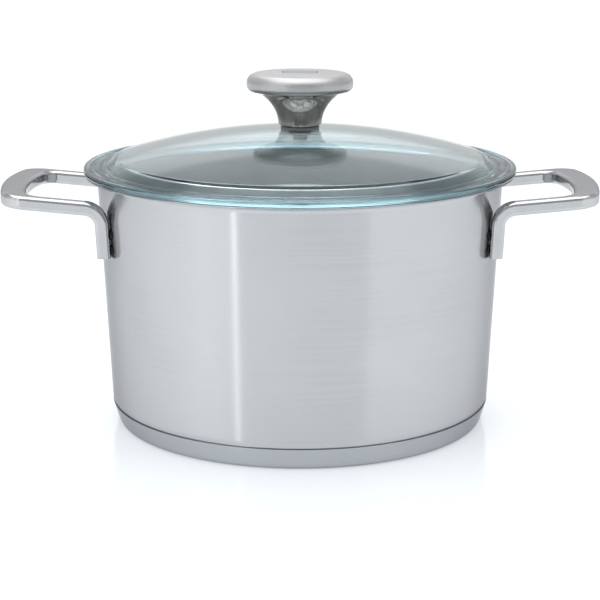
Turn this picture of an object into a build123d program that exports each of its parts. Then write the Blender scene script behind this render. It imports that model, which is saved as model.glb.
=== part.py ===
from build123d import *
import math
import os

# Stockpot-shaped water bath canner: a straight-sided steel pot on a capsule base, two loop
# handles, a pressed glass lid with a mushroom knob, and a folding-bail jar rack inside.
# Millimetres. +Z is up, +X runs towards the right handle and the origin is the centre of the
# base, on the table.

# ---- driving dimensions ---------------------------------------------------------------------

# Pot
mouth_diameter = 240.0  # inside, at the top of the wall
pot_height = 150.9  # table to the top of the lip
wall = 0.9
wall_taper = 2.7  # degrees, the pot is wider at the top
lip_width = 7.8  # from the mouth to the outer edge of the pouring lip
lip_edge_radius = 0.4
flare_radius = 3.6  # outside, where the wall turns out into the lip
floor_height = 7.0  # table to the underside of the pot floor
floor_corner = 10.0  # outside, where the wall turns in to the floor

# Base
seam_height = 12.5  # top edge of the base cap
base_inset = 3.9  # how far the standing edge lies inside the seam
base_edge_radius = 3.0
cap_sheet = 0.6
core_rise = 2.0  # how far the core climbs round the floor corner

# Side handles
bar_width = 8.8
bar_thickness = 7.9
bar_edge_radius = 2.2
grip_width = 15.2
grip_bow = 7.5  # how far the end of the grip bows out, middle over sides
leg_pitch = 94.0  # centre to centre of the two legs
handle_reach = 58.7  # pot wall to the outer edge of the grip, along X, at the mouth
handle_drop = 18.0  # top of the lip down to the underside of the bar at the bend
handle_rise = 5.3  # degrees, the bar climbs towards the grip
bend_radius = 6.7  # underside of the bend
grip_corner_outer = 16.0
grip_corner_inner = 10.0
foot_length = 25.9  # underside of the bar down to the end of the foot
foot_depth = 7.9  # wall to the outer face of the foot, half way across it
weld_gap = 0.7
weld_radius = 3.1
weld_pitch = 9.0

# Lid
rest_gap = 0.25  # lid over lip, and rack over pot floor
lid_overhang = 0.9  # flange past the lip
flange_thickness = 3.9
flange_edge_radius = 1.5
step_clearance = 1.1  # locating step inside the mouth
step_depth = 3.2  # locating step below the seat
step_thickness = 4.0
step_edge_radius = 1.2
slope_run = 7.0  # flange to shoulder, across
slope_rise = 4.7  # flange to shoulder, up
shoulder_inset = 8.9  # shoulder inside the locating step
shoulder_radius = 3.0
slope_foot_radius = 4.0
dome_rise = 16.2  # shoulder to the middle of the lid
lid_glass_thickness = 4.0
lid_hole_radius = 3.2

# Knob
gasket_thickness = 1.2
gasket_radius = 11.5
neck_foot_radius = 11.0
neck_waist_radius = 12.9
neck_chamfer = 1.7
neck_height = 21.1  # gasket to the underside of the cap
neck_head_radius = 28.1
neck_flare_radius = 22.3
spigot_radius = 26.4
spigot_height = 3.0
knob_cap_radius = 31.6
knob_cap_height = 11.0
knob_cap_sheet = 1.5
knob_cap_lower_edge = 3.3
knob_cap_upper_edge = 5.5
knob_cap_crown = 1.0  # rise of the top face to its middle
inlay_radius = 10.2
inlay_thickness = 1.0
inlay_groove = 0.6
insert_radius = 4.5
insert_length = 13.0
screw_radius = 2.5
screw_engagement = 11.0  # thread inside the insert
screw_head_radius = 4.6
screw_head_height = 3.0
screw_slot = 1.1
washer_radius = 6.5
washer_thickness = 1.0
washer_clearance = 0.2
lower_gasket_radius = 7.0
lower_gasket_thickness = 1.0

# Rack
rack_clearance = 1.2  # inside the floor corner
rack_height = 12.1  # pot floor to the top of the plate
rack_sheet = 1.0
rack_corner_radius = 4.0
middle_hole_radius = 10.0
inner_hole_radius = 7.0
outer_hole_radius = 6.0
inner_ring_radius = 29.0
middle_ring_radius = 57.0
outer_ring_inset = 18.0
skirt_notch_width = 22.0
skirt_notch_height = 4.5

# Bails, lugs and rivets
wire_radius = 2.0
wire_corner_radius = 9.0
pin_corner_radius = 3.0
pin_overhang = 1.8  # pin end past the ear
pivot_inset = 26.5  # rack edge to the bail pivot
bail_half_width = 38.0  # to the centre line of a leg
bails_apart = 32.0  # between the two crossbars when they lie flat
bail_lift = 4.0  # plate to the pivot
lug_sheet = 1.4
lug_length = 14.0
lug_flange_width = 9.6
lug_margin = 3.0  # sheet above the pivot hole
lug_corner_radius = 2.5
lug_gap = 0.3  # bend of the wire to the ear
pin_fit = 0.06  # radial running clearance of the pin
stop_gap = 0.3  # raised leg to its stop
rivet_radius = 1.6
rivet_head_radius = 3.0
rivet_head_height = 1.3

# ---- sizes that follow ----------------------------------------------------------------------

mouth_radius = mouth_diameter / 2
taper_slope = math.tan(math.radians(wall_taper))
lip_radius = mouth_radius + lip_width
lip_underside = pot_height - wall
floor_top = floor_height + wall


def wall_radius(height):
    """Outside radius of the tapered pot wall at a height above the table."""
    mouth_outer_radius = mouth_radius + wall / math.cos(math.radians(wall_taper))
    return mouth_outer_radius - (pot_height - height) * taper_slope


seam_radius = wall_radius(seam_height)
base_radius = seam_radius - base_inset
core_top = floor_height + core_rise

seat_height = pot_height + rest_gap
flange_radius = lip_radius + lid_overhang
flange_top = seat_height + flange_thickness
step_radius = mouth_radius - step_clearance
step_bottom = seat_height - step_depth
shoulder_x = step_radius - shoulder_inset
shoulder_z = flange_top + slope_rise
dome_top = shoulder_z + dome_rise
dome_radius = (shoulder_x**2 + dome_rise**2) / (2 * dome_rise)
dome_centre = dome_top - dome_radius
inner_dome_radius = dome_radius - lid_glass_thickness
inner_shoulder_x = shoulder_x - 2.2


def dome_height(radius, x):
    """Height of a dome of the given radius, about the lid's dome centre, at x from the axis."""
    return dome_centre + math.sqrt(radius**2 - x**2)


neck_base = dome_top + gasket_thickness
neck_top = neck_base + neck_height
knob_top = neck_top + knob_cap_height
washer_top = dome_top - lid_glass_thickness - lower_gasket_thickness
screw_seat = washer_top - washer_thickness

leg_y = leg_pitch / 2
foot_top = pot_height - handle_drop
foot_bottom = foot_top - foot_length
leg_angle = math.degrees(math.asin(leg_y / wall_radius(foot_bottom)))


def foot_face(height):
    """X of the outer face of the feet at a height above the table."""
    return math.sqrt(wall_radius(foot_bottom) ** 2 - leg_y**2) + foot_depth + (height - foot_bottom) * taper_slope


grip_end = mouth_radius + handle_reach - wall - lip_edge_radius
rack_radius = wall_radius(floor_height) - floor_corner - rack_clearance
rack_bottom = floor_top + rest_gap
rack_top = floor_top + rack_height
outer_ring_radius = rack_radius - outer_ring_inset
pivot_x = rack_radius - pivot_inset
pivot_z = rack_top + bail_lift
crossbar_x = bails_apart / 2
ear_y = bail_half_width + pin_corner_radius + lug_gap + lug_sheet / 2
pin_end = ear_y + lug_sheet / 2 + pin_overhang
rivet_y = ear_y + lug_sheet + lug_flange_width / 2

os.makedirs("parts", exist_ok=True)

# ---- pot ------------------------------------------------------------------------------------

wall_points = [
    (0, floor_height),
    (wall_radius(floor_height), floor_height),
    (wall_radius(lip_underside), lip_underside),
    (lip_radius, lip_underside),
]

with BuildPart() as pot_body:
    with BuildSketch(Plane.XZ) as wall_profile:
        with BuildLine():
            FilletPolyline(*wall_points, radius=[floor_corner, flare_radius])
            offset(amount=wall, side=Side.LEFT)
        make_face()
        fillet(wall_profile.vertices().group_by(Axis.X)[-1], lip_edge_radius)
    revolve(axis=Axis.Z)
pot_body.part.label = "pot_body"
export_step(pot_body.part, "parts/pot_body.step")

# Solid to the outside of the pot, used to shape what is pressed against it.
with BuildPart() as pot_outside:
    with BuildSketch(Plane.XZ):
        with BuildLine():
            FilletPolyline(*wall_points, radius=[floor_corner, flare_radius])
            Polyline(wall_points[-1], (lip_radius, pot_height), (0, pot_height), wall_points[0])
        make_face()
    revolve(axis=Axis.Z)

cap_points = [(0, 0), (base_radius, 0), (seam_radius, seam_height)]

with BuildPart() as base_cap:
    with BuildSketch(Plane.XZ):
        with BuildLine():
            FilletPolyline(*cap_points, radius=base_edge_radius)
            offset(amount=cap_sheet, side=Side.LEFT)
        make_face()
    revolve(axis=Axis.Z)
base_cap.part.label = "base_cap"
export_step(base_cap.part, "parts/base_cap.step")

# The core fills what the cap and the pot floor leave between them, up to its own top.
with BuildPart() as base_core:
    with BuildSketch(Plane.XZ):
        with BuildLine():
            FilletPolyline(*cap_points, radius=base_edge_radius)
            Polyline(cap_points[-1], (0, seam_height), cap_points[0])
        make_face()
    revolve(axis=Axis.Z)
    add(base_cap.part, mode=Mode.SUBTRACT)
    add(pot_outside.part, mode=Mode.SUBTRACT)
    split(bisect_by=Plane.XY.offset(core_top), keep=Keep.BOTTOM)
base_core.part.label = "base_core"
export_step(base_core.part, "parts/base_core.step")

# ---- side handles ---------------------------------------------------------------------------


def wall_section(gap):
    """Corners of the half section of the tapered wall, a gap wider all round."""
    return [
        (0, 0),
        (wall_radius(0) + gap, 0),
        (wall_radius(pot_height) + gap, pot_height),
        (0, pot_height),
    ]


bar_climb = math.tan(math.radians(handle_rise))
bar_underside = foot_top - bar_climb * 2 * bend_radius
tip_x = grip_end + bar_thickness
outer_y = leg_y + bar_width / 2
inner_y = leg_y - bar_width / 2
inner_x = grip_end - grip_width
inner_bow = grip_bow * (inner_y / outer_y) ** 2

with BuildPart() as right_handle:
    # Side view: one bar bent down along the wall.
    with BuildSketch(Plane.XZ):
        with BuildLine():
            FilletPolyline(
                (foot_face(foot_bottom - bar_thickness), foot_bottom - bar_thickness),
                (foot_face(foot_top), bar_underside),
                (tip_x, bar_underside + bar_climb * (tip_x - foot_face(foot_top))),
                radius=bend_radius,
            )
            offset(amount=bar_thickness, side=Side.LEFT)
        make_face()
    extrude(amount=leg_pitch, both=True)
    # Plan: a loop, broader across the grip.
    with BuildSketch(Plane.XY) as loop_plan:
        with BuildLine():
            outer_end = ThreePointArc((grip_end - grip_bow, -outer_y), (grip_end, 0), (grip_end - grip_bow, outer_y))
            Polyline(outer_end @ 1, (0, outer_y), (0, -outer_y), outer_end @ 0)
        make_face()
        fillet(loop_plan.vertices().filter_by(lambda v: v.X > 1), grip_corner_outer)
        with BuildSketch(mode=Mode.SUBTRACT) as finger_plan:
            with BuildLine():
                inner_end = ThreePointArc((inner_x - inner_bow, -inner_y), (inner_x, 0), (inner_x - inner_bow, inner_y))
                Polyline(inner_end @ 1, (-1, inner_y), (-1, -inner_y), inner_end @ 0)
            make_face()
            fillet(finger_plan.vertices().filter_by(lambda v: v.X > 1), grip_corner_inner)
    extrude(amount=2 * pot_height, mode=Mode.INTERSECT)
    fillet(right_handle.edges().filter_by(lambda e: e.center().Z > foot_bottom - bar_thickness / 2), bar_edge_radius)
    split(bisect_by=Plane.XY.offset(foot_bottom), keep=Keep.TOP)
    with BuildSketch(Plane.XZ):
        with BuildLine():
            Polyline(*wall_section(weld_gap), close=True)
        make_face()
    revolve(axis=Axis.Z, mode=Mode.SUBTRACT)
right_handle.part.label = "right_handle"
export_step(right_handle.part, "parts/right_handle.step")

with BuildPart() as left_handle:
    mirror(right_handle.part, about=Plane.YZ)
left_handle.part.label = "left_handle"
export_step(left_handle.part, "parts/left_handle.step")

# Two projection welds behind each foot, as thick as the gap they close.
with BuildPart() as right_handle_welds:
    for side in (-1, 1):
        for level in (0.5, 1.5):
            weld_z = foot_bottom + level * weld_pitch
            outward = Vector(1, 0, 0).rotate(Axis.Z, side * leg_angle)
            with BuildSketch(Plane(origin=(0, 0, weld_z), z_dir=outward)):
                Circle(weld_radius)
            extrude(amount=wall_radius(pot_height) + weld_gap + 2)
    with BuildSketch(Plane.XZ):
        with BuildLine():
            Polyline(*wall_section(weld_gap), close=True)
        make_face()
    revolve(axis=Axis.Z, mode=Mode.INTERSECT)
    with BuildSketch(Plane.XZ):
        with BuildLine():
            Polyline(*wall_section(0), close=True)
        make_face()
    revolve(axis=Axis.Z, mode=Mode.SUBTRACT)
right_handle_welds.part.label = "right_handle_welds"
export_step(right_handle_welds.part, "parts/right_handle_welds.step")

with BuildPart() as left_handle_welds:
    mirror(right_handle_welds.part, about=Plane.YZ)
left_handle_welds.part.label = "left_handle_welds"
export_step(left_handle_welds.part, "parts/left_handle_welds.step")

# ---- lid ------------------------------------------------------------------------------------

with BuildPart() as lid_glass:
    with BuildSketch(Plane.XZ) as lid_profile:
        with BuildLine():
            dome = RadiusArc(
                (lid_hole_radius, dome_height(dome_radius, lid_hole_radius)),
                (shoulder_x, shoulder_z),
                dome_radius,
            )
            rim = Polyline(
                dome @ 1,
                (shoulder_x + slope_run, flange_top),
                (flange_radius, flange_top),
                (flange_radius, seat_height),
                (step_radius, seat_height),
                (step_radius, step_bottom),
                (step_radius - step_thickness, step_bottom),
                (inner_shoulder_x, dome_height(inner_dome_radius, inner_shoulder_x)),
            )
            inner_dome = RadiusArc(
                rim @ 1,
                (lid_hole_radius, dome_height(inner_dome_radius, lid_hole_radius)),
                -inner_dome_radius,
            )
            Line(inner_dome @ 1, dome @ 0)
        make_face()
        fillet(lid_profile.vertices().group_by(Axis.X)[-1], flange_edge_radius)
        fillet(lid_profile.vertices().group_by(Axis.Y)[0], step_edge_radius)
        for corner_x, corner_radius in (
            (shoulder_x, shoulder_radius),
            (inner_shoulder_x, shoulder_radius),
            (shoulder_x + slope_run, slope_foot_radius),
        ):
            fillet(lid_profile.vertices().filter_by(lambda v: abs(v.X - corner_x) < 0.01), corner_radius)
    revolve(axis=Axis.Z)
lid_glass.part.label = "lid_glass"
export_step(lid_glass.part, "parts/lid_glass.step")

with BuildPart() as knob_gasket:
    with BuildSketch(Plane.XY.offset(neck_base)):
        Circle(gasket_radius)
        Circle(lid_hole_radius, mode=Mode.SUBTRACT)
    extrude(amount=-2 * gasket_thickness)
    add(lid_glass.part, mode=Mode.SUBTRACT)
knob_gasket.part.label = "knob_gasket"
export_step(knob_gasket.part, "parts/knob_gasket.step")

with BuildPart() as knob_neck:
    with BuildSketch(Plane.XZ):
        with BuildLine():
            waist_z = neck_base + neck_chamfer
            Polyline((0, neck_base), (neck_foot_radius, neck_base), (neck_waist_radius, waist_z))
            RadiusArc((neck_waist_radius, waist_z), (neck_head_radius, neck_top), neck_flare_radius)
            Polyline(
                (neck_head_radius, neck_top),
                (spigot_radius, neck_top),
                (spigot_radius, neck_top + spigot_height),
                (0, neck_top + spigot_height),
                (0, neck_base),
            )
        make_face()
    revolve(axis=Axis.Z)
    with Locations((0, 0, neck_base)):
        Cylinder(
            insert_radius,
            insert_length,
            align=(Align.CENTER, Align.CENTER, Align.MIN),
            mode=Mode.SUBTRACT,
        )
knob_neck.part.label = "knob_neck"
export_step(knob_neck.part, "parts/knob_neck.step")

with BuildPart() as knob_insert:
    with BuildSketch(Plane.XY.offset(neck_base)):
        Circle(insert_radius)
        Circle(screw_radius, mode=Mode.SUBTRACT)
    extrude(amount=insert_length)
knob_insert.part.label = "knob_insert"
export_step(knob_insert.part, "parts/knob_insert.step")

recess_floor = knob_top - inlay_thickness
inlay_base = recess_floor - knob_cap_sheet

with BuildPart() as knob_cap:
    with BuildSketch(Plane.XZ) as cap_outline:
        with BuildLine():
            Polyline(
                (0, neck_top),
                (knob_cap_radius, neck_top),
                (knob_cap_radius, knob_top - knob_cap_crown),
                (inlay_radius + inlay_groove, knob_top),
                (0, knob_top),
                close=True,
            )
        make_face()
        fillet(cap_outline.vertices().group_by(Axis.X)[-1].sort_by(Axis.Y)[0], knob_cap_lower_edge)
        fillet(cap_outline.vertices().group_by(Axis.X)[-1].sort_by(Axis.Y)[-1], knob_cap_upper_edge)
    revolve(axis=Axis.Z)
    # Hollow: the spigot of the neck stands in the mouth of the cap.
    with BuildSketch(Plane.XZ) as cap_hollow:
        with BuildLine():
            Polyline(
                (0, neck_top - 1),
                (spigot_radius, neck_top - 1),
                (spigot_radius, neck_top + knob_cap_sheet),
                (knob_cap_radius - knob_cap_sheet, neck_top + knob_cap_sheet + 1.5),
                (knob_cap_radius - knob_cap_sheet, inlay_base),
                (0, inlay_base),
                close=True,
            )
        make_face()
        fillet(
            cap_hollow.vertices().group_by(Axis.X)[-1].sort_by(Axis.Y)[-1],
            knob_cap_upper_edge - knob_cap_sheet,
        )
    revolve(axis=Axis.Z, mode=Mode.SUBTRACT)
    # Round recess for the inlay.
    with Locations((0, 0, recess_floor)):
        Cylinder(
            inlay_radius + inlay_groove,
            2 * inlay_thickness,
            align=(Align.CENTER, Align.CENTER, Align.MIN),
            mode=Mode.SUBTRACT,
        )
knob_cap.part.label = "knob_cap"
export_step(knob_cap.part, "parts/knob_cap.step")

with BuildPart() as knob_inlay:
    with BuildSketch(Plane.XY.offset(recess_floor)):
        Circle(inlay_radius)
    extrude(amount=inlay_thickness)
    fillet(knob_inlay.edges().group_by(Axis.Z)[-1], inlay_thickness / 3)
knob_inlay.part.label = "knob_inlay"
export_step(knob_inlay.part, "parts/knob_inlay.step")

with BuildPart() as lower_gasket:
    with BuildSketch(Plane.XY.offset(washer_top)):
        Circle(lower_gasket_radius)
        Circle(lid_hole_radius, mode=Mode.SUBTRACT)
    extrude(amount=2 * lower_gasket_thickness)
    add(lid_glass.part, mode=Mode.SUBTRACT)
    split(bisect_by=Plane.XY.offset(washer_top + 1.5 * lower_gasket_thickness), keep=Keep.BOTTOM)
lower_gasket.part.label = "lower_gasket"
export_step(lower_gasket.part, "parts/lower_gasket.step")

with BuildPart() as knob_washer:
    with BuildSketch(Plane.XY.offset(screw_seat)):
        Circle(washer_radius)
        Circle(screw_radius + washer_clearance, mode=Mode.SUBTRACT)
    extrude(amount=washer_thickness)
    chamfer(knob_washer.edges().group_by(Axis.Z)[0].sort_by(SortBy.RADIUS)[-1], washer_thickness / 4)
knob_washer.part.label = "knob_washer"
export_step(knob_washer.part, "parts/knob_washer.step")

with BuildPart() as knob_screw:
    with BuildSketch(Plane.XY.offset(screw_seat)):
        Circle(screw_head_radius)
    extrude(amount=-screw_head_height)
    fillet(knob_screw.edges().group_by(Axis.Z)[0], screw_head_height / 2)
    with BuildSketch(Plane.XY.offset(screw_seat)):
        Circle(screw_radius)
    extrude(amount=neck_base + screw_engagement - screw_seat)
    chamfer(knob_screw.edges().group_by(Axis.Z)[-1], screw_radius / 4)
    # Cross recess.
    with Locations((0, 0, screw_seat - screw_head_height)):
        Box(1.3 * screw_head_radius, screw_slot, screw_head_height, mode=Mode.SUBTRACT)
        Box(screw_slot, 1.3 * screw_head_radius, screw_head_height, mode=Mode.SUBTRACT)
knob_screw.part.label = "knob_screw"
export_step(knob_screw.part, "parts/knob_screw.step")

# ---- rack -----------------------------------------------------------------------------------

lug_spots = [(x, y) for x in (-pivot_x, pivot_x) for y in (-rivet_y, rivet_y)]

with BuildPart() as rack_plate:
    with BuildSketch(Plane.XZ):
        with BuildLine():
            FilletPolyline(
                (rack_radius, rack_bottom),
                (rack_radius, rack_top),
                (0, rack_top),
                radius=rack_corner_radius,
            )
            offset(amount=rack_sheet, side=Side.LEFT)
        make_face()
    revolve(axis=Axis.Z)
    with BuildSketch(Plane.XY.offset(rack_top)):
        Circle(middle_hole_radius)
        with PolarLocations(inner_ring_radius, 6):
            Circle(inner_hole_radius)
        with PolarLocations(middle_ring_radius, 12):
            Circle(inner_hole_radius)
        with PolarLocations(outer_ring_radius, 16):
            Circle(outer_hole_radius)
        with Locations(*lug_spots):
            Circle(rivet_radius)
    extrude(amount=-2 * rack_sheet, mode=Mode.SUBTRACT)
    # Notches in the skirt let the water round under the plate.
    with BuildSketch(Plane.XY.offset(rack_bottom)):
        with PolarLocations(rack_radius, 8):
            Rectangle(4 * rack_sheet, skirt_notch_width)
    extrude(amount=skirt_notch_height, mode=Mode.SUBTRACT)
rack_plate.part.label = "rack_plate"
export_step(rack_plate.part, "parts/rack_plate.step")

lug_top = pivot_z + wire_radius + lug_margin

with BuildPart() as rack_right_lugs:
    for side in (-1, 1):
        # Foot flange, riveted to the plate.
        with BuildSketch(Plane.XY.offset(rack_top)):
            with Locations((pivot_x, side * (ear_y + (lug_sheet + lug_flange_width) / 2))):
                RectangleRounded(lug_length, lug_sheet + lug_flange_width, 1.0)
        extrude(amount=lug_sheet)
        # Ear with the pivot hole.
        with BuildSketch(Plane.XZ.offset(-side * (ear_y + lug_sheet / 2))) as ear_outline:
            with BuildLine():
                Polyline(
                    (pivot_x - lug_length / 2, rack_top),
                    (pivot_x + lug_length / 2, rack_top),
                    (pivot_x + lug_length / 2, lug_top),
                    (pivot_x - lug_length / 2, lug_top),
                    close=True,
                )
            make_face()
            fillet(ear_outline.vertices().group_by(Axis.Y)[-1], lug_corner_radius)
        extrude(amount=lug_sheet / 2, both=True)
        # Tab turned in behind the leg, which stops the raised bail.
        with BuildSketch(Plane.XY.offset(pivot_z)):
            with Locations((pivot_x + wire_radius + stop_gap + lug_sheet / 2, side * (ear_y - wire_radius))):
                Rectangle(lug_sheet, 2 * wire_radius)
        extrude(amount=wire_radius + lug_margin)
    with Locations(*[(pivot_x, y, 0) for y in (-rivet_y, rivet_y)]):
        Cylinder(rivet_radius, 3 * rack_top, mode=Mode.SUBTRACT)
    with Locations(Plane.XZ):
        with Locations((pivot_x, pivot_z)):
            Cylinder(wire_radius + pin_fit, 3 * rivet_y, mode=Mode.SUBTRACT)
rack_right_lugs.part.label = "rack_right_lugs"
export_step(rack_right_lugs.part, "parts/rack_right_lugs.step")

with BuildPart() as rack_left_lugs:
    mirror(rack_right_lugs.part, about=Plane.YZ)
rack_left_lugs.part.label = "rack_left_lugs"
export_step(rack_left_lugs.part, "parts/rack_left_lugs.step")

with BuildPart() as rack_rivets:
    with BuildSketch(Plane.XY.offset(rack_top + lug_sheet)):
        with Locations(*lug_spots):
            Circle(rivet_head_radius)
    extrude(amount=rivet_head_height)
    with BuildSketch(Plane.XY.offset(rack_top - rack_sheet)):
        with Locations(*lug_spots):
            Circle(rivet_head_radius)
    extrude(amount=-rivet_head_height)
    with BuildSketch(Plane.XY.offset(rack_top - rack_sheet)):
        with Locations(*lug_spots):
            Circle(rivet_radius)
    extrude(amount=rack_sheet + lug_sheet)
    fillet(rack_rivets.edges().group_by(Axis.Z)[-1], rivet_head_height * 0.7)
    fillet(rack_rivets.edges().group_by(Axis.Z)[0], rivet_head_height * 0.7)
rack_rivets.part.label = "rack_rivets"
export_step(rack_rivets.part, "parts/rack_rivets.step")

# A bail is one length of wire: pin, leg, crossbar, leg, pin.
with BuildPart() as right_bail:
    with BuildLine(Plane.XY.offset(pivot_z)) as bail_path:
        FilletPolyline(
            (pivot_x, -pin_end),
            (pivot_x, -bail_half_width),
            (crossbar_x, -bail_half_width),
            (crossbar_x, bail_half_width),
            (pivot_x, bail_half_width),
            (pivot_x, pin_end),
            radius=[pin_corner_radius, wire_corner_radius, wire_corner_radius, pin_corner_radius],
        )
    with BuildSketch(Plane(origin=bail_path.line @ 0, z_dir=bail_path.line % 0)):
        Circle(wire_radius)
    sweep()
right_bail.part.label = "right_bail"
export_step(right_bail.part, "parts/right_bail.step")

with BuildPart() as left_bail:
    mirror(right_bail.part, about=Plane.YZ)
left_bail.part.label = "left_bail"
export_step(left_bail.part, "parts/left_bail.step")
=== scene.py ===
import math

import bmesh
import bpy
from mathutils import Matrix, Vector


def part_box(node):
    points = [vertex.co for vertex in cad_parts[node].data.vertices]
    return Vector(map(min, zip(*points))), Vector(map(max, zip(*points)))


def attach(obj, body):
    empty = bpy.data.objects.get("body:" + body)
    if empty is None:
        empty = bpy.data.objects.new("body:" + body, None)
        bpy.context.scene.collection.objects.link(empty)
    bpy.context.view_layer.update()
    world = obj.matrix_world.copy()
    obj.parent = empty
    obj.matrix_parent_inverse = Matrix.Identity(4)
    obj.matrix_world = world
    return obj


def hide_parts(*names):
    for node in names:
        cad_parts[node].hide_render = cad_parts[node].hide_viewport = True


# Stockpot-shaped water bath canner with a glass lid. Metres, +Z up, origin on the table at the
# centre of the base, +X towards the right handle.

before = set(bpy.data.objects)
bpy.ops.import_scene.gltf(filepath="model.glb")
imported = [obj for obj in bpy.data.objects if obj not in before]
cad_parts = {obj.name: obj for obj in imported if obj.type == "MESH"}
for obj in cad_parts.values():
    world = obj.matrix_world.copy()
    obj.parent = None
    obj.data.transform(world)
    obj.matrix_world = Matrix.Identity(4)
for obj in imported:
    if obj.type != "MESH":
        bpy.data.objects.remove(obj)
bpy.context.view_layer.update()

MM = 0.001

# ---- sizes ----------------------------------------------------------------------------------

# Pot
POT_LOW, POT_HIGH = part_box("pot_body")
POT_HEIGHT = POT_HIGH[2]
LIP_RADIUS = POT_HIGH[0]
FLOOR_HEIGHT = POT_LOW[2]
WALL = 0.9 * MM
MOUTH_RADIUS = 120 * MM
TAPER = math.tan(math.radians(2.7))
FLOOR_CORNER = 10 * MM
FLARE_RADIUS = 3.6 * MM
LIP_EDGE = 0.4 * MM
INNER_MARGIN = 0.2 * MM

# Base
SEAM_HEIGHT = 12.5 * MM
SEAM_RISE = 0.1 * MM
BASE_INSET = 3.9 * MM
BASE_EDGE = 3 * MM
CAP_SHEET = 0.6 * MM

# Lid: a dome, a shoulder, a slope down to a flat flange, and a step that sits in the mouth
LID_LOW, LID_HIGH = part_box("lid_glass")
FLANGE_RADIUS = LID_HIGH[0]
FLANGE_EDGE = 1.5 * MM
GASKET_SINK = 1.2 * MM
DOME_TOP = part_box("knob_gasket")[1][2] - GASKET_SINK
STEP_DEPTH = 3.2 * MM
SEAT_HEIGHT = LID_LOW[2] + STEP_DEPTH
FLANGE_THICKNESS = 3.9 * MM
FLANGE_TOP = SEAT_HEIGHT + FLANGE_THICKNESS
STEP_RADIUS = MOUTH_RADIUS - 1.1 * MM
STEP_THICKNESS = 4 * MM
STEP_EDGE = 1.2 * MM
STEP_CORNER = 0.4 * MM
SHOULDER_RADIUS = STEP_RADIUS - 8.9 * MM
SHOULDER_HEIGHT = FLANGE_TOP + 4.7 * MM
SHOULDER_EDGE = 3 * MM
SHOULDER_REACH = 2 * MM
INNER_SHOULDER = SHOULDER_RADIUS - 2.2 * MM
SLOPE_RUN = 7 * MM
SLOPE_FOOT = 1.2 * MM
GLASS = 4 * MM
HOLE_RADIUS = 3.2 * MM

# Rings pressed in the lid: (first, pitch, width of a side, end of the bottom, width, depth)
RING_COUNT = 3
SLOPE_RINGS = (2.1 * MM, 1.54 * MM, 0.315 * MM, 0.56 * MM, 0.91 * MM, 0.36 * MM)
FLANGE_RINGS = (8.9 * MM, 2.8 * MM, 0.55 * MM, 0.95 * MM, 1.6 * MM, 0.42 * MM)
UNDER_RINGS = (2.6 * MM, 2.3 * MM, 0.5 * MM, 1.1 * MM, 1.6 * MM, 0.7 * MM)
UNDER_RING_CORNER = 0.25 * MM

# Knob
NECK_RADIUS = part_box("knob_neck")[1][0]
CAP_LOW, CAP_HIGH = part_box("knob_cap")
CAP_RADIUS = CAP_HIGH[0]
CAP_BOTTOM = CAP_LOW[2]
CAP_TOP = CAP_HIGH[2]
CAP_LOWER_EDGE = 3.3 * MM
CAP_UPPER_EDGE = 5.5 * MM
CAP_CROWN = 1.0 * MM
SEAT_SINK = 0.2 * MM
SEAT_INSIDE = 1.7 * MM
SEAT_OUTSIDE = 1.4 * MM
SEAT_EDGE = 0.2 * MM
RECESS_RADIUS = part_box("knob_inlay")[1][0] + 0.6 * MM
RECESS_DEPTH = 1.0 * MM
RECESS_EDGE = 0.25 * MM
RECESS_CORNER = 0.15 * MM

# Meshes
ARC_STEP = math.radians(6)
HOLDING_EDGE = 0.15 * MM
SHARP_ANGLE = math.radians(32)
ON_AXIS = 1e-7
SEGMENTS = 288
CAP_SEGMENTS = 192
DOME_RINGS = 40

# Camera and floor
CAMERA_PLACE = (0, -1.0368, 0.3214)
CAMERA_TILT = math.radians(76.395)
CAMERA_LENS = 105
SENSOR_WIDTH = 36
FLOOR_SIZE = 8


def wall_radius(height):
    """Outside radius of the pot wall at a height above the table."""
    mouth_outside = MOUTH_RADIUS + WALL / math.cos(math.atan(TAPER))
    return mouth_outside - (POT_HEIGHT - height) * TAPER


# ---- mesh helpers ---------------------------------------------------------------------------


def rotated(vector, angle):
    """A 2D vector turned counter-clockwise by an angle."""
    c, s = math.cos(angle), math.sin(angle)
    return Vector((vector.x * c - vector.y * s, vector.x * s + vector.y * c))


def rounded(corners, closed=True):
    """Outline through (r, z, radius) corners, each rounded by an arc of its own radius.

    A point just before and just after each arc keeps the flat faces beside it flat in the shading.
    """
    points = []
    count = len(corners)
    for i, (r, z, radius) in enumerate(corners):
        here = Vector((r, z))
        if radius <= 0 or (not closed and i in (0, count - 1)):
            points.append(here)
            continue
        before = Vector(corners[i - 1][:2])
        after = Vector(corners[(i + 1) % count][:2])
        to_before = (before - here).normalized()
        to_after = (after - here).normalized()
        half = to_before.angle(to_after) / 2
        reach = radius / math.tan(half)
        start = here + to_before * reach
        centre = here + (to_before + to_after).normalized() * (radius / math.sin(half))
        turn = math.pi - 2 * half
        side = 1 if to_before.cross(to_after) < 0 else -1
        pieces = max(2, math.ceil(turn / ARC_STEP))
        points.append(start + to_before * HOLDING_EDGE)
        for k in range(pieces + 1):
            points.append(centre + rotated(start - centre, side * turn * k / pieces))
        points.append(here + to_after * (reach + HOLDING_EDGE))
    return points


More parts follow.
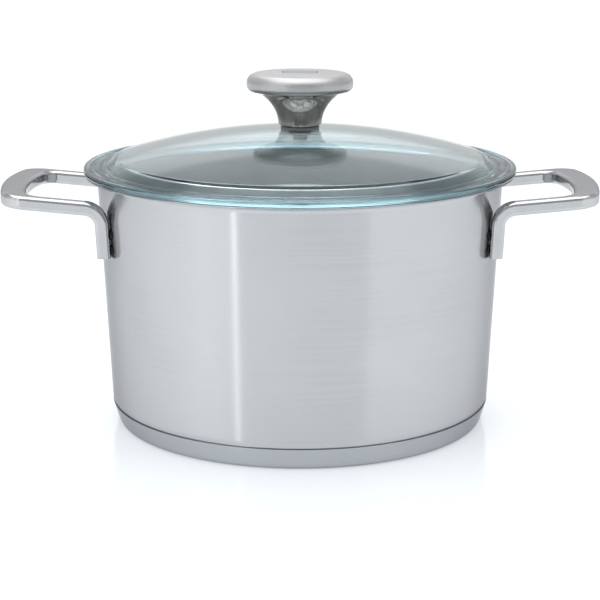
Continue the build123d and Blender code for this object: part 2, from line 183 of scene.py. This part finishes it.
def lathe(name, outline, segments=SEGMENTS):
    """Object whose closed mesh is a closed (r, z) outline swept round the Z axis."""
    mesh = bpy.data.meshes.new(name)
    bm = bmesh.new()
    rings = []
    for point in outline:
        if point.x < ON_AXIS:
            rings.append([bm.verts.new((0, 0, point.y))])
            continue
        ring = []
        for k in range(segments):
            angle = 2 * math.pi * k / segments
            place = (point.x * math.cos(angle), point.x * math.sin(angle), point.y)
            ring.append(bm.verts.new(place))
        rings.append(ring)
    for lower, upper in zip(rings, rings[1:] + rings[:1]):
        if len(lower) == 1 and len(upper) == 1:
            continue
        for k in range(segments):
            n = (k + 1) % segments
            if len(lower) == 1:
                bm.faces.new((lower[0], upper[n], upper[k]))
            elif len(upper) == 1:
                bm.faces.new((lower[k], lower[n], upper[0]))
            else:
                bm.faces.new((lower[k], lower[n], upper[n], upper[k]))
    bmesh.ops.recalc_face_normals(bm, faces=bm.faces)
    bm.to_mesh(mesh)
    bm.free()
    for polygon in mesh.polygons:
        polygon.use_smooth = True
    mesh.set_sharp_from_angle(angle=SHARP_ANGLE)
    piece = bpy.data.objects.new(name, mesh)
    bpy.context.collection.objects.link(piece)
    return piece


def stand_for(piece, node, body, material):
    """Give a new piece its material and the place of a CAD node."""
    piece.data.materials.append(material)
    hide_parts(node)
    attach(piece, body)


# ---- materials ------------------------------------------------------------------------------


def new_material(name):
    """Material with a plain principled shader; returns it, its nodes and links, and the shader."""
    material = bpy.data.materials.new(name)
    material.use_nodes = True
    nodes = material.node_tree.nodes
    return material, nodes, material.node_tree.links, nodes["Principled BSDF"]


def new_node(nodes, kind, **values):
    """Node of a kind, with values for its inputs; an underscore stands for a space in a name."""
    node = nodes.new(kind)
    for name, value in values.items():
        node.inputs[name.replace("_", " ")].default_value = value
    return node


def darker_to_lighter(ramp, colour, darker, lighter, low=0.0, high=1.0):
    """Set a colour ramp to run from a darker to a lighter shade of a colour."""
    for stop, factor, position in zip(ramp.elements, (darker, lighter), (low, high)):
        stop.color = (*[min(1, c * factor) for c in colour], 1)
        stop.position = position


def steel(name, colour, roughness, grain, spread=0.0, relief=0.0006, tint=0.04, edge=1.0):
    """Worked metal, with fine marks that show in its colour, roughness and relief.

    grain is the marks per metre along each axis, spread stretches reflections up and down the
    wall, relief is the marks' height in millimetres, tint their share of the colour, and edge
    the metal's brightness at a grazing angle.
    """
    material, nodes, links, shader = new_material(name)
    shader.inputs["Metallic"].default_value = 1.0
    shader.inputs["Specular Tint"].default_value = (edge, edge, edge * 1.02, 1)
    where = nodes.new("ShaderNodeTexCoord")
    stretch = new_node(nodes, "ShaderNodeMapping", Scale=grain)
    links.new(where.outputs["Object"], stretch.inputs["Vector"])
    marks = new_node(nodes, "ShaderNodeTexNoise", Scale=1.0, Detail=3.0, Roughness=0.6)
    links.new(stretch.outputs["Vector"], marks.inputs["Vector"])
    cloud = new_node(nodes, "ShaderNodeTexNoise", Scale=22.0, Detail=2.0)
    links.new(where.outputs["Object"], cloud.inputs["Vector"])
    shade = nodes.new("ShaderNodeValToRGB")
    darker_to_lighter(shade.color_ramp, colour, 1 - tint, 1 + tint, low=0.3, high=0.7)
    links.new(marks.outputs["Fac"], shade.inputs["Fac"])
    links.new(shade.outputs["Color"], shader.inputs["Base Color"])
    both = nodes.new("ShaderNodeMath")
    both.operation = "MULTIPLY"
    links.new(marks.outputs["Fac"], both.inputs[0])
    links.new(cloud.outputs["Fac"], both.inputs[1])
    rough = new_node(
        nodes,
        "ShaderNodeMapRange",
        From_Min=0.1,
        From_Max=0.45,
        To_Min=roughness * 0.85,
        To_Max=roughness * 1.2,
    )
    links.new(both.outputs["Value"], rough.inputs["Value"])
    links.new(rough.outputs["Result"], shader.inputs["Roughness"])
    if relief:
        bump = new_node(nodes, "ShaderNodeBump", Strength=0.25, Distance=relief * MM)
        links.new(marks.outputs["Fac"], bump.inputs["Height"])
        links.new(bump.outputs["Normal"], shader.inputs["Normal"])
    if spread:
        shader.inputs["Anisotropic"].default_value = spread
        shader.inputs["Anisotropic Rotation"].default_value = 0.25
        tangent = nodes.new("ShaderNodeTangent")
        tangent.direction_type = "RADIAL"
        tangent.axis = "Z"
        links.new(tangent.outputs["Tangent"], shader.inputs["Tangent"])
    return material


def rubber(name, colour):
    """Matt moulded seal with a fine speckle."""
    material, nodes, links, shader = new_material(name)
    speckle = new_node(nodes, "ShaderNodeTexNoise", Scale=900.0)
    shade = nodes.new("ShaderNodeValToRGB")
    darker_to_lighter(shade.color_ramp, colour, 0.8, 1.25)
    links.new(speckle.outputs["Fac"], shade.inputs["Fac"])
    links.new(shade.outputs["Color"], shader.inputs["Base Color"])
    shader.inputs["Roughness"].default_value = 0.55
    return material


def glass(name, middle, outside):
    """Pressed glass: clear in the dome, tinted more towards the thick flange, and blue-green
    where light crosses much of it. Its polish varies a little.
    """
    material, nodes, links, shader = new_material(name)
    where = nodes.new("ShaderNodeTexCoord")
    axes = nodes.new("ShaderNodeSeparateXYZ")
    links.new(where.outputs["Object"], axes.inputs["Vector"])
    flat = nodes.new("ShaderNodeCombineXYZ")
    links.new(axes.outputs["X"], flat.inputs["X"])
    links.new(axes.outputs["Y"], flat.inputs["Y"])
    radius = nodes.new("ShaderNodeVectorMath")
    radius.operation = "LENGTH"
    links.new(flat.outputs["Vector"], radius.inputs[0])
    tint_start = SHOULDER_RADIUS - 6 * MM
    span = new_node(nodes, "ShaderNodeMapRange", From_Min=tint_start, From_Max=FLANGE_RADIUS)
    links.new(radius.outputs["Value"], span.inputs["Value"])
    tint = nodes.new("ShaderNodeValToRGB")
    tint.color_ramp.elements[0].color = (0.97, 0.985, 0.99, 1)
    tint.color_ramp.elements[1].color = outside
    tint.color_ramp.elements.new(0.5).color = middle
    links.new(span.outputs["Result"], tint.inputs["Fac"])
    links.new(tint.outputs["Color"], shader.inputs["Base Color"])
    shader.inputs["Transmission Weight"].default_value = 1.0
    shader.inputs["IOR"].default_value = 1.5
    shader.inputs["Specular Tint"].default_value = (0.90, 0.97, 1.0, 1)
    wave = new_node(nodes, "ShaderNodeTexNoise", Scale=14.0, Detail=1.0)
    rough = new_node(nodes, "ShaderNodeMapRange", To_Min=0.0, To_Max=0.012)
    links.new(wave.outputs["Fac"], rough.inputs["Value"])
    links.new(rough.outputs["Result"], shader.inputs["Roughness"])
    body = new_node(
        nodes, "ShaderNodeVolumeAbsorption", Color=(0.40, 0.71, 0.76, 1), Density=26.0
    )
    links.new(body.outputs["Volume"], nodes["Material Output"].inputs["Volume"])
    return material


ROUND_THE_POT = (3, 3, 700)
FINE = (900, 900, 900)

wall_steel = steel(
    "wall_steel",
    (0.545, 0.545, 0.552),
    0.215,
    ROUND_THE_POT,
    spread=1.0,
    relief=0.0,
    tint=0.008,
    edge=0.52,
)
# Inside of the pot: satin steel whose colour is painted much lighter than the wall steel, as
# painted light in the covered pot.
satin_inner_painted_light = steel("satin_inner_painted_light", (0.84, 0.845, 0.85), 0.42, (3, 3, 500), relief=0.0, tint=0.02)
base_steel = steel(
    "base_steel",
    (0.47, 0.485, 0.505),
    0.25,
    ROUND_THE_POT,
    spread=0.9,
    relief=0.0,
    tint=0.02,
    edge=0.6,
)
handle_steel = steel("handle_steel", (0.52, 0.525, 0.53), 0.13, (90, 90, 90), relief=0.0, edge=0.7)
knob_steel = steel("knob_steel", (0.50, 0.50, 0.505), 0.42, (300, 300, 900), relief=0.0)
neck_steel = steel("neck_steel", (0.45, 0.43, 0.40), 0.05, (300, 300, 900), relief=0.0)
inlay_steel = steel("inlay_steel", (0.40, 0.40, 0.41), 0.30, FINE, relief=0.0002)
sheet_steel = steel(
    "sheet_steel", (0.66, 0.665, 0.67), 0.30, (2600, 120, 2600), relief=0.0002, tint=0.03
)
wire_steel = steel("wire_steel", (0.66, 0.665, 0.67), 0.15, FINE, relief=0.0001)
# The welds are painted almost black: painted shade of the dark gap where each handle foot meets
# the wall.
weld_painted_gap_shade = steel("weld_painted_gap_shade", (0.06, 0.058, 0.055), 0.5, FINE, relief=0.02, tint=0.2)
screw_metal = steel("screw_metal", (0.66, 0.66, 0.67), 0.22, FINE)
aluminium = steel("aluminium", (0.80, 0.80, 0.81), 0.35, (300, 300, 300))
brass = steel("brass", (0.74, 0.56, 0.28), 0.3, (600, 600, 900))
seal_rubber = rubber("seal_rubber", (0.22, 0.225, 0.23))
lid_glass = glass("clear_glass", middle=(0.64, 0.77, 0.81, 1), outside=(0.52, 0.72, 0.79, 1))

# ---- pot ------------------------------------------------------------------------------------

floor_inside = FLOOR_HEIGHT + WALL
lip_under = POT_HEIGHT - WALL
pot = lathe(
    "pot_wall",
    rounded(
        [
            (0, FLOOR_HEIGHT, 0),
            (wall_radius(FLOOR_HEIGHT), FLOOR_HEIGHT, FLOOR_CORNER),
            (wall_radius(lip_under), lip_under, FLARE_RADIUS),
            (LIP_RADIUS, lip_under, LIP_EDGE),
            (LIP_RADIUS, POT_HEIGHT, LIP_EDGE),
            (MOUTH_RADIUS, POT_HEIGHT, FLARE_RADIUS + WALL),
            (wall_radius(floor_inside) - WALL, floor_inside, FLOOR_CORNER - WALL),
            (0, floor_inside, 0),
        ]
    ),
)
stand_for(pot, "pot_body", "pot", wall_steel)

# The inside, whose faces look at the axis or up, has a satin finish of its own and a much lighter
# colour, which is painted light inside the covered pot.
pot.data.materials.append(satin_inner_painted_light)
for polygon in pot.data.polygons:
    outward = polygon.normal.x * polygon.center.x + polygon.normal.y * polygon.center.y
    inside = math.hypot(polygon.center.x, polygon.center.y) < MOUTH_RADIUS - INNER_MARGIN
    if inside and (outward < -0.1 * MM or polygon.normal.z > 0.5):
        polygon.material_index = 1

seam_radius = wall_radius(SEAM_HEIGHT)
base_radius = seam_radius - BASE_INSET
base_cap = lathe(
    "base_shell",
    rounded(
        [
            (0, 0, 0),
            (base_radius, 0, BASE_EDGE),
            (seam_radius, SEAM_HEIGHT, 0),
            (seam_radius - CAP_SHEET, SEAM_HEIGHT + SEAM_RISE, 0),
            (base_radius - CAP_SHEET, CAP_SHEET, BASE_EDGE - CAP_SHEET),
            (0, CAP_SHEET, 0),
        ]
    ),
)
stand_for(base_cap, "base_cap", "pot", base_steel)

# ---- lid ------------------------------------------------------------------------------------

dome_rise = DOME_TOP - SHOULDER_HEIGHT
dome_radius = (SHOULDER_RADIUS**2 + dome_rise**2) / (2 * dome_rise)
dome_centre = DOME_TOP - dome_radius


def dome_height(radius, r):
    """Height at a distance r from the axis of a sphere about the dome's centre."""
    return dome_centre + math.sqrt(radius**2 - r**2)


def dome_points(radius, start, end):
    """Points of that sphere's outline between two distances from the axis."""
    places = [start + (end - start) * k / DOME_RINGS for k in range(DOME_RINGS + 1)]
    return [Vector((r, dome_height(radius, r))) for r in places]


def lid_top(r):
    """Height of the slope or the flange at a distance from the axis."""
    along = min(1, (r - SHOULDER_RADIUS) / SLOPE_RUN)
    return SHOULDER_HEIGHT + along * (FLANGE_TOP - SHOULDER_HEIGHT)


def ring_corners(first, pitch, side, bottom_end, width, depth):
    """(distance, depth) of the corners of equal pressed rings, side by side."""
    corners = []
    for k in range(RING_COUNT):
        for along, deep in ((0, 0), (side, depth), (bottom_end, depth), (width, 0)):
            corners.append((first + k * pitch + along, deep))
    return corners


def rings_on_top(rings):
    """Outline corners of rings pressed in the slope or the flange from above."""
    places = [(SHOULDER_RADIUS + along, depth) for along, depth in ring_corners(*rings)]
    return [(r, lid_top(r) - depth, 0) for r, depth in places]


# Rings under the flange run inwards from its edge and show through the glass.
rings_below = [
    (FLANGE_RADIUS - along, SEAT_HEIGHT + depth, UNDER_RING_CORNER if depth else 0)
    for along, depth in ring_corners(*UNDER_RINGS)
]

inner_radius = dome_radius - GLASS
outer_dome = dome_points(dome_radius, HOLE_RADIUS, SHOULDER_RADIUS - SHOULDER_REACH)
inner_dome = dome_points(inner_radius, INNER_SHOULDER - SHOULDER_REACH, HOLE_RADIUS)
rim = rounded(
    [
        (*outer_dome[-1], 0),
        (SHOULDER_RADIUS, SHOULDER_HEIGHT, SHOULDER_EDGE),
        *rings_on_top(SLOPE_RINGS),
        (SHOULDER_RADIUS + SLOPE_RUN, FLANGE_TOP, SLOPE_FOOT),
        *rings_on_top(FLANGE_RINGS),
        (FLANGE_RADIUS, FLANGE_TOP, FLANGE_EDGE),
        (FLANGE_RADIUS, SEAT_HEIGHT, FLANGE_EDGE),
        *rings_below,
        (STEP_RADIUS, SEAT_HEIGHT, STEP_CORNER),
        (STEP_RADIUS, SEAT_HEIGHT - STEP_DEPTH, STEP_EDGE),
        (STEP_RADIUS - STEP_THICKNESS, SEAT_HEIGHT - STEP_DEPTH, STEP_EDGE),
        (INNER_SHOULDER, dome_height(inner_radius, INNER_SHOULDER), SHOULDER_EDGE),
        (*inner_dome[0], 0),
    ],
    closed=False,
)
lid = lathe("lid_pane", outer_dome[:-1] + rim + inner_dome[1:])
stand_for(lid, "lid_glass", "lid", lid_glass)

# ---- knob -----------------------------------------------------------------------------------

cap = lathe(
    "knob_top",
    rounded(
        [
            (0, CAP_BOTTOM + SEAT_SINK, 0),
            (NECK_RADIUS - SEAT_INSIDE, CAP_BOTTOM + SEAT_SINK, 0),
            (NECK_RADIUS - SEAT_OUTSIDE, CAP_BOTTOM, SEAT_EDGE),
            (CAP_RADIUS, CAP_BOTTOM, CAP_LOWER_EDGE),
            (CAP_RADIUS, CAP_TOP - CAP_CROWN, CAP_UPPER_EDGE),
            (RECESS_RADIUS, CAP_TOP, RECESS_EDGE),
            (RECESS_RADIUS, CAP_TOP - RECESS_DEPTH, RECESS_CORNER),
            (0, CAP_TOP - RECESS_DEPTH, 0),
        ]
    ),
    segments=CAP_SEGMENTS,
)
stand_for(cap, "knob_cap", "lid", knob_steel)

# ---- materials of the CAD nodes that stay ---------------------------------------------------

for material, names in (
    (handle_steel, ("right_handle", "left_handle")),
    (weld_painted_gap_shade, ("right_handle_welds", "left_handle_welds")),
    (aluminium, ("base_core",)),
    (neck_steel, ("knob_neck",)),
    (inlay_steel, ("knob_inlay",)),
    (brass, ("knob_insert",)),
    (seal_rubber, ("knob_gasket", "lower_gasket")),
    (screw_metal, ("knob_washer", "knob_screw")),
    (sheet_steel, ("rack_plate", "rack_left_lugs", "rack_right_lugs", "rack_rivets")),
    (wire_steel, ("left_bail", "right_bail")),
):
    for name in names:
        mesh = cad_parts[name].data
        for index in range(len(mesh.materials)):
            mesh.materials[index] = material

# ---- floor ----------------------------------------------------------------------------------

bpy.ops.mesh.primitive_plane_add(size=FLOOR_SIZE)
floor = bpy.context.object
floor.name = "floor"
floor_white, _, _, floor_shader = new_material("floor_white")
floor_shader.inputs["Base Color"].default_value = (0.66, 0.69, 0.72, 1)
floor_shader.inputs["Roughness"].default_value = 0.12
floor_shader.inputs["Emission Color"].default_value = (0.96, 0.985, 1, 1)
floor_shader.inputs["Emission Strength"].default_value = 0.34
floor.data.materials.append(floor_white)

# ---- light ----------------------------------------------------------------------------------

# The studio is a dome of light. Each table has (angle in degrees, level) stops, by azimuth, which
# is 0 towards the camera and grows to the right, or by height above the horizon.

# Large soft boxes at both sides and a dimmer room behind the camera. The narrow strip at the left
# is reflected as the bright line down the wall, and the edge at the right as the step in its tone.
SIDE_LIGHT = (
    (-180, 0.0),
    (-150, 0.0),
    (-105, 0.66),
    (-56, 1.22),
    (-37.2, 0.98),
    (-36.9, 5.2),
    (-35.7, 5.2),
    (-35.4, 0.62),
    (0, 0.50),
    (38.0, 0.46),
    (39.4, 0.86),
    (70, 0.84),
    (105, 0.66),
    (150, 0.0),
    (180, 0.0),
)
SIDE_HEIGHT = ((-90, 0.9), (-2, 0.9), (6, 1.0), (40, 0.9), (55, 1.0), (90, 1.0))

# A bright ceiling
CEILING_LIGHT = ((-90, 0.0), (52.5, 0.0), (54.0, 1.45), (90, 1.75))

# The wall behind the pot, which the lid reflects: a light band between greyer ones
BACK_WIDTH = ((-180, 1.0), (-150, 1.0), (-105, 0.0), (105, 0.0), (150, 1.0), (180, 1.0))
BACK_HEIGHT = (
    (-90, 0.9),
    (-1, 0.9),
    (2, 0.66),
    (9.5, 0.66),
    (13.5, 1.0),
    (27, 1.0),
    (28.5, 0.68),
    (52, 0.55),
    (90, 0.55),
)

# A small lamp high behind the pot, for the highlight on the front of the lid's shoulder
RIM_WIDTH = ((-180, 1.0), (-152, 1.0), (-148, 0.0), (168, 0.0), (172, 1.0), (180, 1.0))
RIM_HEIGHT = ((-90, 0.0), (42.5, 0.0), (43.0, 4.5), (51.5, 4.5), (52.0, 0.0), (90, 0.0))

STUDIO_COLOUR = (0.985, 0.992, 1.0, 1)
BACKDROP_LEVEL = 1.05

world = bpy.data.worlds.new("studio")
bpy.context.scene.world = world
world.use_nodes = True
nodes, links = world.node_tree.nodes, world.node_tree.links


def level(angle, stops, furthest):
    """Light level that a table gives for an angle in radians, which runs to furthest degrees
    both ways.
    """
    span = new_node(
        nodes,
        "ShaderNodeMapRange",
        From_Min=math.radians(-furthest),
        From_Max=math.radians(furthest),
    )
    links.new(angle, span.inputs["Value"])
    curve = nodes.new("ShaderNodeFloatCurve")
    top = max(strength for _, strength in stops)
    curve.mapping.use_clip = True
    points = curve.mapping.curves[0].points
    while len(points) < len(stops):
        points.new(0.5, 0.5)
    for point, (degrees, strength) in zip(points, stops):
        point.location = ((degrees + furthest) / (2 * furthest), strength / top)
        point.handle_type = "VECTOR"
    curve.mapping.update()
    links.new(span.outputs["Result"], curve.inputs["Value"])
    return calculate("MULTIPLY", curve.outputs["Value"], top)


def calculate(operation, *terms):
    """Output of a maths node whose terms are outputs of other nodes or numbers."""
    node = nodes.new("ShaderNodeMath")
    node.operation = operation
    for term, socket in zip(terms, node.inputs):
        if isinstance(term, (int, float)):
            socket.default_value = term
        else:
            links.new(term, socket)
    return node.outputs["Value"]


def box_light(width, height):
    """Light level of a box with soft edges, from its tables by azimuth and by height."""
    return calculate("MULTIPLY", level(azimuth, width, 180), level(elevation, height, 90))


where = nodes.new("ShaderNodeTexCoord")
axes = nodes.new("ShaderNodeSeparateXYZ")
links.new(where.outputs["Generated"], axes.inputs["Vector"])
towards_camera = calculate("MULTIPLY", axes.outputs["Y"], -1.0)
azimuth = calculate("ARCTAN2", axes.outputs["X"], towards_camera)
elevation = calculate("ARCSINE", axes.outputs["Z"])
light = calculate("ADD", box_light(SIDE_LIGHT, SIDE_HEIGHT), level(elevation, CEILING_LIGHT, 90))
for width, height in ((BACK_WIDTH, BACK_HEIGHT), (RIM_WIDTH, RIM_HEIGHT)):
    light = calculate("ADD", light, box_light(width, height))
studio = nodes["Background"]
studio.inputs["Color"].default_value = STUDIO_COLOUR
links.new(light, studio.inputs["Strength"])

# What the camera sees directly is a plain white backdrop.
backdrop = new_node(nodes, "ShaderNodeBackground", Color=(1, 1, 1, 1), Strength=BACKDROP_LEVEL)
ray = nodes.new("ShaderNodeLightPath")
choose = nodes.new("ShaderNodeMixShader")
links.new(ray.outputs["Is Camera Ray"], choose.inputs["Fac"])
links.new(studio.outputs["Background"], choose.inputs[1])
links.new(backdrop.outputs["Background"], choose.inputs[2])
links.new(choose.outputs["Shader"], nodes["World Output"].inputs["Surface"])

# ---- camera ---------------------------------------------------------------------------------

camera = bpy.data.cameras.new("camera")
camera.sensor_width = SENSOR_WIDTH
camera.lens = CAMERA_LENS
camera_object = bpy.data.objects.new("camera", camera)
bpy.context.collection.objects.link(camera_object)
camera_object.location = CAMERA_PLACE
camera_object.rotation_euler = (CAMERA_TILT, 0, 0)
bpy.context.scene.camera = camera_object
bpy.context.scene.view_settings.view_transform = "Standard"
